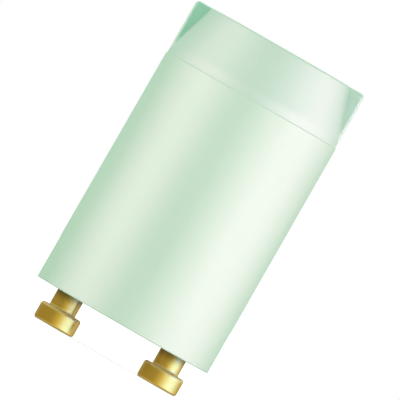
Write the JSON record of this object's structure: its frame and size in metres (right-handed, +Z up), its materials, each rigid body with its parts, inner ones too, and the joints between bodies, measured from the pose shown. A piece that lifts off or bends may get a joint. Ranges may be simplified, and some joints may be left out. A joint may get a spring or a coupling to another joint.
{
  "type": "fluorescent starter",
  "caption": "Plug-in glow starter for a tube lamp: a moulded round can with a tapered, winged grip, headed brass contact pins, and a glow switch and capacitor inside.",
  "frame": {"origin": "midway between the tips of the contact pins, on the plane that the tips stand on", "axes": "+Z up the can's axis to its closed end, +X along the line of the contact pins"},
  "size_m": [0.021, 0.021, 0.0381],
  "materials": {
    "can_plastic": "satin",
    "plate_plastic": "matte",
    "pin_brass": "polished",
    "bulb_glass": "clear",
    "tinned_wire": "bright",
    "post_wire": "satin",
    "bimetal": "satin",
    "capacitor_coating": "satin"
  },
  "bodies": {
    "starter": {"can": "can_plastic", "base_plate": "plate_plastic", "contact_pin_left": "pin_brass", "contact_pin_right": "pin_brass", "bulb_glass": "bulb_glass", "bulb_lead_left": "tinned_wire", "bulb_lead_right": "tinned_wire", "strip_post": "post_wire", "fixed_electrode": "post_wire", "capacitor_body": "capacitor_coating", "capacitor_lead_left": "tinned_wire", "capacitor_lead_right": "tinned_wire"},
    "bimetal": {"bimetal_strip": "bimetal"}
  },
  "joints": [
    {"name": "bimetal_flex", "type": "hinge", "parent": "starter", "child": "bimetal", "pos_m": [-0.00137, -0.0025, 0.0186], "axis": [0, 1, 0], "range_deg": [0, 4.7], "stiffness_Nm_per_rad": 0.07}
  ]
}
